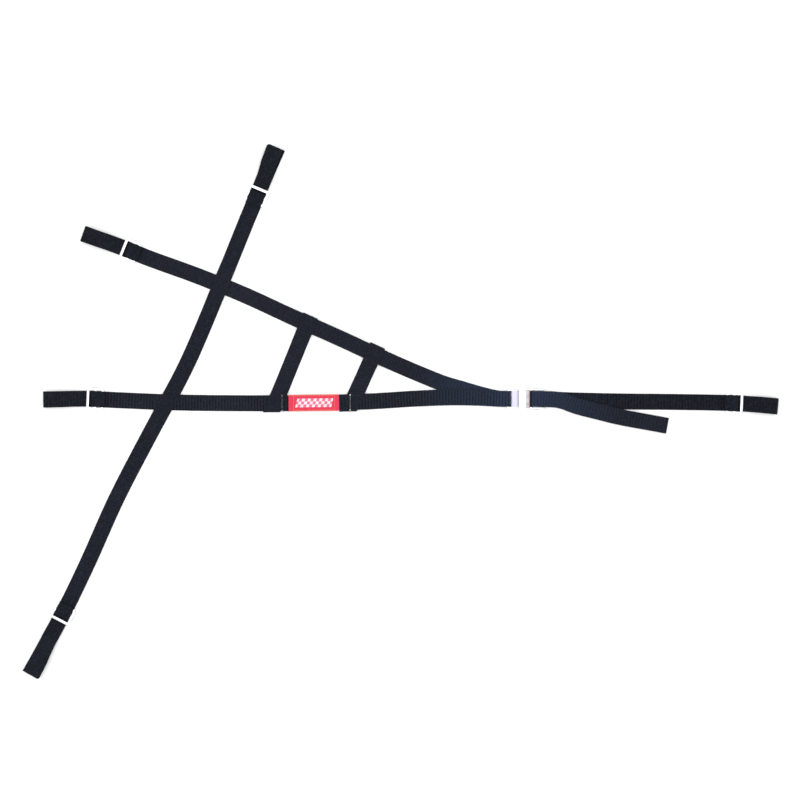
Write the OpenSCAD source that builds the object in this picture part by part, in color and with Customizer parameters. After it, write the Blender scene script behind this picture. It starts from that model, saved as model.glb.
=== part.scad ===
// Side support net for a race car cockpit, with a lift-latch buckle.
// It lies flat on its back, +X along the lower strap towards the anchor side, +Z up.
// The origin is the middle of its outline, on the surface it lies on.

/* [Webbing] */
// Width of the strap webbing
web_w = 25.4; // [24:0.1:26]
// Thickness of one layer of webbing
web_t = 1.4; // [1.2:0.1:1.5]
// Gap between two layers that lie on each other
layer_gap = 0.05; // [0.02:0.01:0.1]
// How far a ladder's fold stands out past the strap that it wraps
wrap_out = 1.8; // [1.5:0.1:3]

/* [End loops] */
// Clear height inside an end loop
loop_gap = 6; // [5:0.5:8]
// Length of the loop that is open to its full height
loop_flat = 30; // [20:1:34]
// Length of lower left loop, from its slide's visible bar to its end
lower_left_loop = 71; // [60:1:90]
// Length of upper left loop
upper_left_loop = 69; // [60:1:90]
// Length of top loop
top_loop = 72; // [60:1:90]
// Length of bottom loop
bottom_loop = 99; // [60:1:110]
// Length of right loop
right_loop = 58; // [55:1:80]

/* [Strap slides] */
// Width of a slide across the strap
slide_w = 34; // [31:1:38]
// Thickness of a slide
slide_t = 3; // [2:0.5:3]
// Width of each of its three bars
bar_w = 4; // [3:0.5:4.5]
// Distance from one bar to the next
bar_pitch = 11.5; // [11:0.5:13]

/* [Buckle] */
// Width over the side walls
buckle_w = 31.6; // [31:0.1:33]
// Length of the buckle frame
buckle_l = 42.8; // [41:0.1:44]
// Sheet thickness of the floor
floor_t = 1.2; // [1:0.1:1.2]
// Thickness of a side wall
wall_t = 1.6; // [1.4:0.1:1.7]
// Radius of the hinge pin
pin_r = 1.25; // [1:0.05:1.3]
// Radial clearance round the hinge pin
pin_fit = 0.05; // [0.02:0.01:0.1]
// Thickness of the tongue plate
tongue_t = 1.8; // [1.5:0.1:1.8]

/* [Hidden] */
END_NAMES = ["lower_left", "upper_left", "top", "bottom", "right"];

// Centre lines of the straps on the table, each from a loop's end
lower_route = [[-566, 18.5], [-498, 19.5], [-454, 17.5], [-370, 14], [-282, 12.5], [-158, 12.5], [-54, 15],
               [22, 19.5], [80, 21.7], [125, 21.1], [157, 19.4], [177, 19.3]];
upper_route = [[-503, 282], [-438, 258.5], [-397, 242], [-320, 214], [-244, 183], [-168, 148], [-92, 114],
               [-16, 79], [60, 47], [98, 35], [132, 25.2], [157, 19.8], [177, 19.3]];
cross_route = [[-194, 418], [-212, 377], [-243, 303], [-275, 224], [-321, 113], [-351, 49], [-402, -46],
               [-451, -141], [-494, -237], [-530, -312], [-566, -379], [-588, -418]];
anchor_route = [[600, 7], [556, 11], [514, 13], [441, 14.3], [350, 15.2], [270, 17], [232, 18.9], [205, 19.4]];
tail_route = [[205, 19.4], [232, 18.9], [247, 18.2], [259, 15.6], [270, 11.6], [281, 7.6], [294, 4], [308, 0.6],
              [346, -8.8], [384, -16], [425, -23.5]];
long_ladder = [[-198, 12.5], [-147, 138]];
short_ladder = [[-76, 13.8], [-41, 91]];

// Heights of the layers' middles
layer = web_t + layer_gap;
z1 = web_t / 2;
z2 = z1 + layer;
z3 = z2 + layer;
ramp = 12;               // length over which a strap climbs one layer
crossing_half = 24;      // half of the stretch that stays raised over another strap

// Slides: the bars lie over the two layers that pass below the outer bar
slide_z = 3;
over_bar = slide_z + slide_t + 0.1 + z1;
loop_reach = 45;         // from the visible bar to the end of the loop's node
tail_end = 4;            // how far the cut end lies past the last bar's middle
rail_w = 3.5;            // width of a slide's side rails
climb = 60;              // angle of the webbing in a slide's slots

// Buckle
buckle_x = 187.5;
buckle_y = 19.3;
pin_x = 204;
pin_z = 5.6;
lid_w = 27.5;
bar_x = 215.75;
bar_z = 4.45;
bar_l = 12;
bar_t = 3.2;
fold_r = 2.45;           // radius of the webbing's middle round the slide bar
split_x = 264;           // where the turned webbing ends and the two free straps start
tongue_z = 1.6;
tongue_bar_x = 174.8;

$fn = 48;

// ---- curves ----

function curve(a, b, c, d, t) =
    0.5 * (2 * b + (c - a) * t + (2 * a - 5 * b + 4 * c - d) * t * t + (3 * b - a - 3 * c + d) * t * t * t);
function before(p, i) = i > 0 ? p[i - 1] : 2 * p[0] - p[1];
function after(p, i) = i < len(p) - 1 ? p[i + 1] : 2 * p[i] - p[i - 1];
function smooth(p, n = 8) =
    [for (i = [0 : len(p) - 2], k = [0 : n - 1]) curve(before(p, i), p[i], p[i + 1], after(p, i + 1), k / n),
     p[len(p) - 1]];
function running(p) =
    [for (i = 0, s = 0; i < len(p); s = s + norm(after(p, i) - p[i]), i = i + 1) s];

// A track is a smooth line on the table, looked up by the length along it
function track(p) = let (c = smooth(p), s = running(c))
    [[for (i = [0 : len(c) - 1]) [s[i], c[i].x]], [for (i = [0 : len(c) - 1]) [s[i], c[i].y]]];
function total(tr) = tr[0][len(tr[0]) - 1][0];
function spot(tr, s) = [lookup(s, tr[0]), lookup(s, tr[1])];
function heading(tr, s) = let (d = spot(tr, s + 2) - spot(tr, s - 2)) atan2(d.y, d.x);
function reach(tr, p) =
    let (d = [for (s = [0 : 1 : total(tr)]) norm(spot(tr, s) - p)]) search(min(d), d)[0];
function backwards(p) = [for (i = [len(p) - 1 : -1 : 0]) p[i]];

lower_track = track(lower_route);
upper_track = track(upper_route);
top_track = track(cross_route);
bottom_track = track(backwards(cross_route));
anchor_track = track(anchor_route);
tail_track = track(tail_route);

// An end is its track from the loop's end inwards, and the loop's length
function end_track(name) =
    name == "lower_left" ? lower_track :
    name == "upper_left" ? upper_track :
    name == "top" ? top_track :
    name == "bottom" ? bottom_track : anchor_track;
function loop_length(name) =
    name == "lower_left" ? lower_left_loop :
    name == "upper_left" ? upper_left_loop :
    name == "top" ? top_loop :
    name == "bottom" ? bottom_loop : right_loop;

// ---- side views: points are [length along the track, height, corner radius] ----

function flat2(p) = [p.x, p.y];
function corner(a, b, c) =
    let (r = b[2], u = flat2(a) - flat2(b), v = flat2(c) - flat2(b), un = u / norm(u), vn = v / norm(v),
         half = acos(max(-1, min(1, un * vn))) / 2)
    (r == undef || r == 0 || half > 89.5) ? [flat2(b)] :
    let (cut = r / tan(half), mid = (un + vn) / norm(un + vn) * r / sin(half),
         from = un * cut - mid, turn = 180 - 2 * half, n = max(2, ceil(turn / 18)),
         side = un.x * vn.y - un.y * vn.x > 0 ? -1 : 1)
    [for (k = [0 : n]) let (t = side * turn * k / n)
        flat2(b) + mid + [from.x * cos(t) - from.y * sin(t), from.x * sin(t) + from.y * cos(t)]];
function rounded(p) =
    [flat2(p[0]), for (i = [1 : len(p) - 2]) each corner(p[i - 1], p[i], p[i + 1]), flat2(p[len(p) - 1])];
function dense(p, step = 12) =
    [for (i = [0 : len(p) - 2])
        let (n = max(1, ceil(norm(p[i + 1] - p[i]) / step))) for (k = [0 : n - 1]) p[i] + (p[i + 1] - p[i]) * k / n,
     p[len(p) - 1]];

// ---- webbing: a band swept along stations of [middle, half of the width] ----

function stations(tr, side_view, w = web_w, drift = 0, drift_to = 1) =
    [for (q = dense(rounded(side_view)))
        let (c = spot(tr, q.x), h = heading(tr, q.x), left = [-sin(h), cos(h)],
             share = max(0, 2 * (q.y - z1) / (loop_gap + web_t) - 1) * max(0, 1 - q.x / drift_to),
             m = c - drift * share * left)
        [[m.x, m.y, q.y], w / 2 * [left.x, left.y, 0]]];
function unit(v) = v / norm(v);

module band(st, t = web_t) {
    n = len(st);
    points = [for (i = [0 : n - 1])
        let (along = st[min(i + 1, n - 1)][0] - st[max(i - 1, 0)][0],
             up = t / 2 * unit(cross(along, st[i][1])), m = st[i][0], w = st[i][1])
        each [m + w + up, m - w + up, m - w - up, m + w - up]];
    walls = [for (i = [0 : n - 2], k = [0 : 3])
        let (a = 4 * i + k, b = 4 * i + (k + 1) % 4) each [[a, b, b + 4], [a, b + 4, a + 4]]];
    caps = [[2, 1, 0], [3, 2, 0], [4 * n - 4, 4 * n - 3, 4 * n - 2], [4 * n - 4, 4 * n - 2, 4 * n - 1]];
    polyhedron(points, concat(walls, caps));
}

module webbing(tr, side_view) {
    color("#17181c") band(stations(tr, side_view));
}

// The climb of two layers through a slide's slot, as offsets from the middle bar
slot_rise = (over_bar - z1) / tan(climb);
top_bend = bar_w / 2 + 0.69;
low_bend = top_bend + slot_rise;
layer_shift = layer * tan(climb / 2);

// The strap's own end: below the last bar, over the middle bar, out and round the loop, and back on itself
function loop_side(n) =
    let (mid = n + bar_pitch, far = n + 2 * bar_pitch, high = z1 + loop_gap + web_t)
    [[n + loop_reach, z1],
     [mid + low_bend, z1, 3],
     [mid + top_bend, over_bar, 1.2],
     [mid - top_bend, over_bar, 1.2],
     [mid - low_bend, z1, 3],
     [web_t / 2, z1, (high - z1) / 2 - 0.01],
     [web_t / 2, high, (high - z1) / 2 - 0.01],
     [loop_flat, high, 12],
     [n - 7, z2, 12],
     [mid - low_bend - layer_shift, z2, 3 - layer],
     [mid - top_bend - layer_shift, over_bar + layer, 1.2 + layer],
     [mid + top_bend + 1.5, over_bar + layer, 3],
     [far - 2, over_bar, 3],
     [far + tail_end, over_bar]];

// The layer on top lies askew of the one below, most of all at the loop's end
function askew(name) = name == "top" ? 4.3 : name == "bottom" ? 4.6 : 0.6;
module end_loop(name) {
    n = loop_length(name);
    color("#17181c") band(stations(end_track(name), loop_side(n), web_w, askew(name), n));
}

// ---- straps of the net ----

function raised(s, half, low, high) = [[s - half - ramp, low], [s - half, high], [s + half, high], [s + half + ramp, low]];

lower_start = lower_left_loop + loop_reach;
lower_cross = reach(lower_track, [-368, 14]);
upper_cross = reach(upper_track, [-282, 200]);
ladder_span = [for (x = [-222, -54]) reach(lower_track, [x, 13])];
upper_span = [for (p = [[-172, 150], [-16, 79]]) reach(upper_track, p)];
under_start = reach(lower_track, [36, 20]);
tongue_fold_x = tongue_bar_x + 0.25 + z1;
tongue_s = total(lower_track) - (177 - tongue_fold_x);
tongue_top = tongue_z + tongue_t + 0.12 + z1;
tongue_low = tongue_z - 0.12 - z1;
fold_back = 10;          // length of the fold's lower half, up to the upper strap's end

lower_side = [[lower_start, z1],
              [ladder_span[0] - ramp, z1], [ladder_span[0], z2],
              [ladder_span[1], z2], [ladder_span[1] + ramp, z1],
              [under_start - ramp, z1], [under_start, z2],
              [tongue_s - 20, z2, 8], [tongue_s - 7.5, tongue_top, 3],
              [tongue_s, tongue_top, 1], [tongue_s, tongue_low, 1],
              [tongue_s - fold_back, tongue_low]];
module lower_strap() {
    webbing(lower_track, lower_side);
}

upper_end = total(upper_track) - (177 - tongue_fold_x);
upper_side = [[upper_left_loop + loop_reach, z1],
              [upper_span[0] - ramp, z1], [upper_span[0], z2],
              [upper_span[1], z2], [upper_span[1] + ramp, z1],
              [upper_end - fold_back - 8, z1], [upper_end - fold_back, tongue_low]];
module upper_strap() {
    webbing(upper_track, upper_side);
}

low_crossing = reach(top_track, [-368, 17]);
high_crossing = reach(top_track, [-283, 201]);
cross_side = concat([[top_loop + loop_reach, z1]],
                    raised(high_crossing, crossing_half, z1, z2),
                    raised(low_crossing, crossing_half, z1, z2),
                    [[total(top_track) - bottom_loop - loop_reach, z1]]);
module cross_strap() {
    webbing(top_track, cross_side);
}

// A ladder goes over each strap, round its far edge and back below it.
// Its cross lines turn so that each fold lies along the strap's edge.
function ladder_stations(ends, low_h, high_h, side_view) =
    let (run = ends[1] - ends[0], length = norm(run), h = atan2(run.y, run.x))
    [for (q = dense(rounded(side_view)))
        let (k = max(0, min(1, (q.x - 20) / (length - 40))), turn = low_h + (high_h - low_h) * k,
             c = ends[0] + q.x * run / length)
        [[c.x, c.y, q.y], -web_w / 2 / sin(h - turn) * [cos(turn), sin(turn), 0]]];
function ladder_side(length, low_lean, high_lean) =
    let (low = (web_w / 2 + wrap_out - z1) / low_lean, high = length + (web_w / 2 + wrap_out - z1) / high_lean,
         tuck = 30, r = layer - 0.02)
    [[tuck, z1], [-low, z1, r], [-low, z3, r], [16.5, z3, 2], [19, z2, 2], [tuck + 1, z2], [tuck + 8, z1],
     [length - tuck - 8, z1], [length - tuck - 1, z2], [length - 19, z2, 2], [length - 16.5, z3, 2],
     [high, z3, r], [high, z1, r], [length - tuck, z1]];
module ladder(ends, low_h, high_h) {
    run = ends[1] - ends[0];
    h = atan2(run.y, run.x);
    side_view = ladder_side(norm(run), sin(h - low_h), sin(h - high_h));
    color("#1b1c21") band(ladder_stations(ends, low_h, high_h, side_view));
}
module long_ladder_strap() {
    ladder(long_ladder, 0, -24.3);
}
module short_ladder_strap() {
    ladder(short_ladder, 1, -24.8);
}

// ---- label and sewing ----

label_from = reach(lower_track, [-178.5, 12.5]);
label_to = reach(lower_track, [-97, 13.5]);
label_t = 0.6;
label_w = 26;
strap_top = z2 + z1;
thread = 0.6;

module label_patch() {
    z = strap_top + label_t / 2;
    color("#d0304e") band(stations(lower_track, [[label_from, z], [label_to, z]], label_w), label_t);
}

// A straight seam of thread from one point to another, lying on height z
module seam(from, to, z) {
    d = to - from;
    translate([from.x, from.y, z])
        rotate([0, 0, atan2(d.y, d.x)])
        translate([0, -thread / 2, 0]) cube([norm(d), thread, thread / 2]);
}
// A box seam with its diagonal cross, centred on a strap
module box_seam(centre, angle, length, width, z, crossed = true) {
    translate(centre) rotate([0, 0, angle]) {
        for (side = [-1, 1]) {
            seam([-length / 2, side * width / 2], [length / 2, side * width / 2], z);
            seam([side * length / 2, -width / 2], [side * length / 2, width / 2], z);
        }
        if (crossed)
            for (side = [-1, 1]) seam([-length / 2, side * width / 2], [length / 2, -side * width / 2], z);
    }
}

module label_stitching() {
    z = strap_top + label_t;
    color("#e08a3c") for (s = [label_from + 8, label_to - 7]) {
        c = spot(lower_track, s);
        seam(c - [0, 11], c + [0, 11], z);
    }
}
module lower_crossing_stitching() {
    color("#26272d") box_seam([-368, 15.5, 0], 0, 20, 20, strap_top);
}
module upper_crossing_stitching() {
    color("#26272d") box_seam([-283, 201, 0], -23, 20, 20, strap_top);
}
module ladder_stitching() {
    color("#26272d") {
        z = z3 + z1;
        box_seam([long_ladder[0].x, long_ladder[0].y, 0], 0, 18, 18, z);
        box_seam([long_ladder[1].x, long_ladder[1].y, 0], -24, 18, 18, z);
        box_seam([short_ladder[0].x, short_ladder[0].y, 0], 1, 18, 18, z);
        box_seam([short_ladder[1].x, short_ladder[1].y, 0], -25, 18, 18, z);
    }
}
module tongue_stitching() {
    color("#26272d") box_seam([139, 21.2, 0], -1, 22, 19, strap_top);
}
tail_mid = 2.45;         // height of the tail's middle where it lies on the anchor strap
hem = 20;
hem_z = z2 + 0.2;
hem_r = (hem_z - z1) / 2 - 0.01;
module tail_stitching() {
    color("#26272d") {
        end = spot(tail_track, total(tail_track) - hem / 2);
        box_seam([end.x, end.y, 0], heading(tail_track, total(tail_track) - hem / 2), hem - 8, 19, hem_z + z1, false);
    }
}

// Pale thread across the lower strap, with a knot at each edge.
// It lies on height high_z down to step_y, and on low_z from there.
module thread_tie(x, low, high, step_y, low_z, high_z) {
    tie_w = 1;
    tie_t = 0.5;
    color("#e8e6e0") {
        translate([x - tie_w / 2, step_y, high_z]) cube([tie_w, high - step_y, tie_t]);
        if (step_y > low) {
            translate([x - tie_w / 2, step_y, low_z]) cube([tie_w, tie_t, high_z - low_z + tie_t]);
            translate([x - tie_w / 2, low, low_z]) cube([tie_w, step_y - low + tie_t, tie_t]);
        }
        translate([x, high, high_z + 0.95]) sphere(0.9);
        translate([x, low, low_z + 0.95]) sphere(0.9);
    }
}
module thread_ties() {
    top = z3 + z1;
    thread_tie(-187, 0.6, 24.6, 2.6, strap_top, top);
    over_seam = top + thread / 2;
    thread_tie(-79, 1.6, 25.6, 1.6, over_seam, over_seam);
}

// ---- three-bar slide ----

module round_rect(l, w, r) {
    square([l - 2 * r, w], center = true);
    square([l, w - 2 * r], center = true);
    for (x = [-1, 1], y = [-1, 1]) translate([x * (l / 2 - r), y * (w / 2 - r)]) circle(r);
}
module slide_plate() {
    linear_extrude(slide_t) difference() {
        round_rect(2 * bar_pitch + bar_w, slide_w, 5);
        for (side = [-1, 1])
            translate([side * bar_pitch / 2, 0]) round_rect(bar_pitch - bar_w, slide_w - 2 * rail_w, 1);
    }
}
module strap_slide(name) {
    tr = end_track(name);
    s = loop_length(name) + bar_pitch;
    c = spot(tr, s);
    color("#c9ccd2") translate([c.x, c.y, slide_z]) rotate([0, 0, heading(tr, s)]) slide_plate();
}

// ---- buckle ----

// Extrudes a side view, given in X and Z, across the buckle from one Y to another
module across(from, to) {
    translate([0, buckle_y + to, 0]) rotate([90, 0, 0]) linear_extrude(to - from) children();
}

module tongue_plate() {
    color("#c4c3d4")
        translate([0, buckle_y, tongue_z]) linear_extrude(tongue_t) difference() {
            union() {
                translate([175.95, 0]) round_rect(10.1, 30.4, 2);
                translate([187.5, 0]) round_rect(28, 27.5, 2);
            }
            translate([tongue_bar_x + 1.6, 0]) square([3.2, web_w + 0.8], center = true);
            translate([195.4, 0]) square([5.2, 13], center = true);
        }
}

module wall_side() {
    difference() {
        union() {
            polygon([[buckle_x, 0], [buckle_x, 4.2], [buckle_x + 2, 6.6], [226, 6.6], [buckle_x + buckle_l, 3.2],
                     [buckle_x + buckle_l, 0]]);
            translate([pin_x, pin_z]) circle(3.4);
        }
        translate([pin_x, pin_z]) circle(pin_r + pin_fit);
        translate([bar_x, bar_z]) square([11.8, 2.8], center = true);
    }
}
module buckle_frame() {
    outer = buckle_w / 2;
    color("#d6d7db") {
        across(outer - wall_t, outer) wall_side();
        across(-outer, wall_t - outer) wall_side();
        translate([buckle_x, buckle_y - outer, 0]) cube([buckle_l, 2 * outer, floor_t]);
    }
}

knuckle_r = 2.65;
knuckle_in = 5.7;        // the spring lies between the two knuckles
module lid_side() {
    polygon([[189, 8.6], [198.6, 8.6], [pin_x - 0.4, pin_z + knuckle_r - 0.15], [pin_x - 2, pin_z - 0.8], [198.6, 7.3],
             [190.2, 7.3], [190.2, 6.2], [189, 6.2]]);
}
// The sheet goes on over the spring and curls down behind it
module spring_cover() {
    inner = knuckle_r - 0.35;
    outer = knuckle_r + 0.15;
    polygon(concat([[189, 8.6], [198.6, 8.6]],
                   [for (a = [100 : -10 : 10]) [pin_x + outer * cos(a), pin_z + outer * sin(a)]],
                   [for (a = [10 : 10 : 130]) [pin_x + inner * cos(a), pin_z + inner * sin(a)]],
                   [[200.8, 7.3], [190.2, 7.3], [190.2, 6.2], [189, 6.2]]));
}
module buckle_lid() {
    color("#f2f2f4") {
        for (from = [-lid_w / 2, knuckle_in])
            across(from, from + lid_w / 2 - knuckle_in) difference() {
                union() {
                    lid_side();
                    translate([pin_x, pin_z]) circle(knuckle_r);
                }
                translate([pin_x, pin_z]) circle(pin_r + pin_fit);
            }
        across(-knuckle_in, knuckle_in) spring_cover();
        across(-5.5, 5.5)
            polygon([[194.3, 7.3], [196.5, 7.3], [196.5, 1.9], [195.2, 1.9], [194.3, 2.8]]);
    }
}

module hinge_pin() {
    outer = buckle_w / 2;
    color("#9fa2a8") {
        across(-outer, outer) translate([pin_x, pin_z]) circle(pin_r);
        for (from = [-outer - 0.8, outer]) across(from, from + 0.8) translate([pin_x, pin_z]) circle(2.3);
    }
}

// Torsion spring: a coil round the pin, one leg under the lid and one down to the floor, clear of the cover's swing
coil_r = 1.85;
wire_r = 0.3;
coil_turns = 8;
coil_pitch = 1.1;
function tube_points(path, r, n) =
    [for (i = [0 : len(path) - 1])
        let (d = unit(path[min(i + 1, len(path) - 1)] - path[max(i - 1, 0)]), a = unit(cross(d, [0.3, 1, 0.2])),
             b = cross(d, a))
        for (k = [0 : n - 1]) path[i] + r * (cos(360 * k / n) * a + sin(360 * k / n) * b)];
module tube(path, r, n) {
    m = len(path);
    walls = [for (i = [0 : m - 2], k = [0 : n - 1])
        let (a = n * i + k, b = n * i + (k + 1) % n) each [[a, b, b + n], [a, b + n, a + n]]];
    polyhedron(tube_points(path, r, n), concat(walls, [[for (k = [n - 1 : -1 : 0]) k]],
                                               [[for (k = [0 : n - 1]) n * (m - 1) + k]]));
}
module lid_spring() {
    half = coil_turns * coil_pitch / 2;
    from = 115;
    turned = from + 90 + 360 * (coil_turns - 1);
    coil = [for (a = [0 : 25 : turned])
        [coil_r * cos(from - a), 2 * half * a / turned - half, coil_r * sin(from - a)]];
    path = concat([[-6.5, -half, 1.1], [-3.4, -half, 1], [-1.9, -half, 1.25]], coil,
                  [[-0.9, half, -2], [-1.45, half, -2.9], [-1.5, half, -4.3]]);
    color("#8d9096") translate([pin_x, buckle_y, pin_z]) tube(path, wire_r, 8);
}

module slide_bar() {
    half = buckle_w / 2 - wall_t - 0.4;
    color("#8a8d93") {
        across(-half, half) translate([bar_x, bar_z]) {
            square([bar_l - bar_t, bar_t], center = true);
            for (side = [-1, 1]) translate([side * (bar_l - bar_t) / 2, 0]) circle(bar_t / 2);
        }
        for (from = [-buckle_w / 2 - 1, half])
            across(from, from + buckle_w / 2 + 1 - half)
                translate([bar_x, bar_z]) square([8, 2], center = true);
    }
}

// ---- anchor side ----

over_floor = floor_t + 0.1 + z1;
tail_split = reach(tail_track, [split_x, 15]);
anchor_split = reach(anchor_track, [split_x, 17]);
turn_s = bar_x - bar_l / 2 + bar_t / 2 - 205;
// The webbing turned round the slide bar, from the tail's side to the anchor side
module bar_wrap() {
    anchor_turn = total(anchor_track) - turn_s;
    over = over_floor + 2 * fold_r;
    upper_leg = [[tail_split, tail_mid], [turn_s + 30, tail_mid, 12], [turn_s + 13, over, 6], [turn_s, over]];
    lower_leg = [[anchor_turn, over_floor], [anchor_turn - 21.5, over_floor, 4], [anchor_turn - 29.5, z1, 4],
                 [anchor_split, z1]];
    c = spot(tail_track, turn_s);
    turn = [for (a = [15 : 15 : 165])
        [[c.x - fold_r * sin(a), c.y, over_floor + fold_r + fold_r * cos(a)], [0, web_w / 2, 0]]];
    color("#17181c") band(concat(stations(tail_track, upper_leg), turn,
                                 [for (q = stations(anchor_track, lower_leg)) [q[0], -q[1]]]));
}

module anchor_strap() {
    from = right_loop + loop_reach;
    webbing(anchor_track, [[from, z1], [anchor_split, z1]]);
}

// The tail lies on the anchor strap, then beside it, and ends in a hem folded under
module pull_tail() {
    end = total(tail_track) - web_t / 2;
    webbing(tail_track, [[tail_split, tail_mid], [end - 55, tail_mid], [end - 30, hem_z], [end, hem_z, hem_r],
                         [end, z1, hem_r], [end - hem, z1]]);
}

lower_strap();
upper_strap();
cross_strap();
long_ladder_strap();
short_ladder_strap();
label_patch();
label_stitching();
thread_ties();
lower_crossing_stitching();
upper_crossing_stitching();
ladder_stitching();
tongue_stitching();
tail_stitching();
for (name = END_NAMES) {
    end_loop(name);
    strap_slide(name);
}
tongue_plate();
buckle_frame();
buckle_lid();
hinge_pin();
lid_spring();
slide_bar();
bar_wrap();
anchor_strap();
pull_tail();
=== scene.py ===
import math

import bmesh
import bpy
import numpy as np
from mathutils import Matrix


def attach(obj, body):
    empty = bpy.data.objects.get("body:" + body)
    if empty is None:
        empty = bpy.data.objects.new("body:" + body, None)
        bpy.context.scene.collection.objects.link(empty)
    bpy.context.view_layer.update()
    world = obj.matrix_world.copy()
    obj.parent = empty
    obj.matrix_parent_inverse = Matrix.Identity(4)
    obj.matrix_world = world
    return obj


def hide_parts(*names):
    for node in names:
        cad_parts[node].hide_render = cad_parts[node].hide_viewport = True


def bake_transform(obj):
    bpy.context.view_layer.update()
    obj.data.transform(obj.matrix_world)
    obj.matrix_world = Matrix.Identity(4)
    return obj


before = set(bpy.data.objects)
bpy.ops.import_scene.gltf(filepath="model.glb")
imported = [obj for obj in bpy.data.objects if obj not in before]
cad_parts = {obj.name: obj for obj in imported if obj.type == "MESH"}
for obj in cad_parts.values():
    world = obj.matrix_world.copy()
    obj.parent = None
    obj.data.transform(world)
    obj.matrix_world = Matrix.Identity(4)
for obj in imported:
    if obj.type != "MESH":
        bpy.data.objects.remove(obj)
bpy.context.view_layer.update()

mm = 0.001                       # routes and sizes below are in millimetres, meshes in metres

# ---- camera, light and floor ----

view = {"over": (0.2, 17.5), "height": 3530, "lens": 100, "farthest": 50}
studio = {"sky": 1.0, "floorSide": 14000, "floorGap": 0.3, "floorGrey": 0.92, "floorGrain": 3.0,
          "softboxes": [((0, 0, 3000), 2600, 26),              # where each hangs, its size and its power
                        ((-2600, -900, 1500), 1600, 16),
                        ((2500, 1500, 1300), 1600, 12)]}


def place(thing, name):
    made = bpy.data.objects.new(name, thing)
    bpy.context.scene.collection.objects.link(made)
    return made


def makeCamera():
    lens = bpy.data.cameras.new("overhead")
    lens.lens = view["lens"]
    lens.clip_end = view["farthest"]
    camera = place(lens, "overhead")
    camera.location = (view["over"][0] * mm, view["over"][1] * mm, view["height"] * mm)
    bpy.context.scene.camera = camera


makeCamera()
print("camera set")


# ---- node helpers ----

class Signal:                    # an output socket that takes part in sums
    def __init__(self, maker, socket):
        self.maker = maker
        self.socket = socket

    def __getitem__(self, name):
        return Signal(self.maker, self.socket.node.outputs[name])

    def __add__(self, other):
        return self.maker.maths("ADD", self, other)

    def __sub__(self, other):
        return self.maker.maths("SUBTRACT", self, other)

    def __rsub__(self, other):
        return self.maker.maths("SUBTRACT", other, self)

    def __mul__(self, other):
        return self.maker.maths("MULTIPLY", self, other)

    def __truediv__(self, other):
        return self.maker.maths("DIVIDE", self, other)

    def __pow__(self, other):
        return self.maker.maths("POWER", self, other)

    def __lt__(self, other):
        return self.maker.maths("LESS_THAN", self, other)

    def __abs__(self):
        return self.maker.maths("ABSOLUTE", self)

    __radd__ = __add__
    __rmul__ = __mul__


class NodeMaker:
    def __init__(self, tree):
        self.tree = tree

    def node(self, kind, settings=None, inputs=None):
        made = self.tree.nodes.new(kind)
        for name, value in (settings or {}).items():
            setattr(made, name, value)
        for name, value in (inputs or {}).items():
            if isinstance(value, Signal):
                self.tree.links.new(value.socket, made.inputs[name])
            else:
                made.inputs[name].default_value = value
        return Signal(self, made.outputs[0]) if made.outputs else made

    def maths(self, operation, *values):
        return self.node("ShaderNodeMath", {"operation": operation}, dict(enumerate(values)))

    def limit(self, value):      # keeps a value between 0 and 1
        return self.node("ShaderNodeClamp", inputs={"Value": value})

    def wave(self, value):       # 0 at whole numbers, 1 halfway between them
        return abs(self.maths("SINE", value * math.pi))

    def blendColours(self, factor, first, second):
        return self.node("ShaderNodeMix", {"data_type": "RGBA"}, {0: factor, 6: first, 7: second})[2]

    def noise(self, where, scale, detail=3.0, roughness=0.5):
        return self.node("ShaderNodeTexNoise",
                         inputs={"Vector": where, "Scale": scale, "Detail": detail, "Roughness": roughness})

    def stretched(self, where, scale):
        return self.node("ShaderNodeMapping", inputs={"Vector": where, "Scale": scale})


def shade(red, green, blue):     # a colour as a paint program gives it, from 0 to 255
    linear = []
    for c in (red, green, blue):
        linear.append(c / 255 / 12.92 if c <= 10 else ((c / 255 + 0.055) / 1.055) ** 2.4)
    return (*linear, 1)


def newMaterial(name):
    material = bpy.data.materials.new(name)
    material.use_nodes = True
    material.node_tree.nodes.clear()
    return material, NodeMaker(material.node_tree)


def finishMaterial(maker, inputs, height=None, distance=0.0002):
    inputs = dict(inputs)
    if height is not None:
        inputs["Normal"] = maker.node("ShaderNodeBump", inputs={"Height": height, "Distance": distance})
    surface = maker.node("ShaderNodeBsdfPrincipled", inputs=inputs)
    maker.node("ShaderNodeOutputMaterial", inputs={"Surface": surface})


def makeStudio():
    scene = bpy.context.scene
    scene.view_settings.view_transform = "Standard"
    world = bpy.data.worlds.new("whiteStudio")
    world.use_nodes = True
    world.node_tree.nodes.clear()
    maker = NodeMaker(world.node_tree)
    sky = maker.node("ShaderNodeBackground", inputs={"Color": (1, 1, 1, 1), "Strength": studio["sky"]})
    maker.node("ShaderNodeOutputWorld", inputs={"Surface": sky})
    scene.world = world
    for hangs, size, power in studio["softboxes"]:
        light = bpy.data.lights.new("softbox", "AREA")
        light.size = size * mm
        light.energy = power
        softbox = place(light, "softbox")
        softbox.location = [v * mm for v in hangs]
        softbox.rotation_euler = (-softbox.location).to_track_quat("-Z", "Y").to_euler()
    half, low = studio["floorSide"] / 2 * mm, -studio["floorGap"] * mm
    mesh = bpy.data.meshes.new("floor")
    mesh.from_pydata([(-half, -half, low), (half, -half, low), (half, half, low), (-half, half, low)],
                     [], [(0, 1, 2, 3)])
    material, maker = newMaterial("palePaper")
    where = maker.node("ShaderNodeTexCoord")["Object"]
    grain = maker.noise(where, studio["floorGrain"])
    grey = studio["floorGrey"]
    finishMaterial(maker, {"Base Color": maker.blendColours(grain, (grey, grey, grey, 1), (1, 1, 1, 1)),
                           "Roughness": 0.9, "Specular IOR Level": 0.1})
    mesh.materials.append(material)
    place(mesh, "floor")


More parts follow.
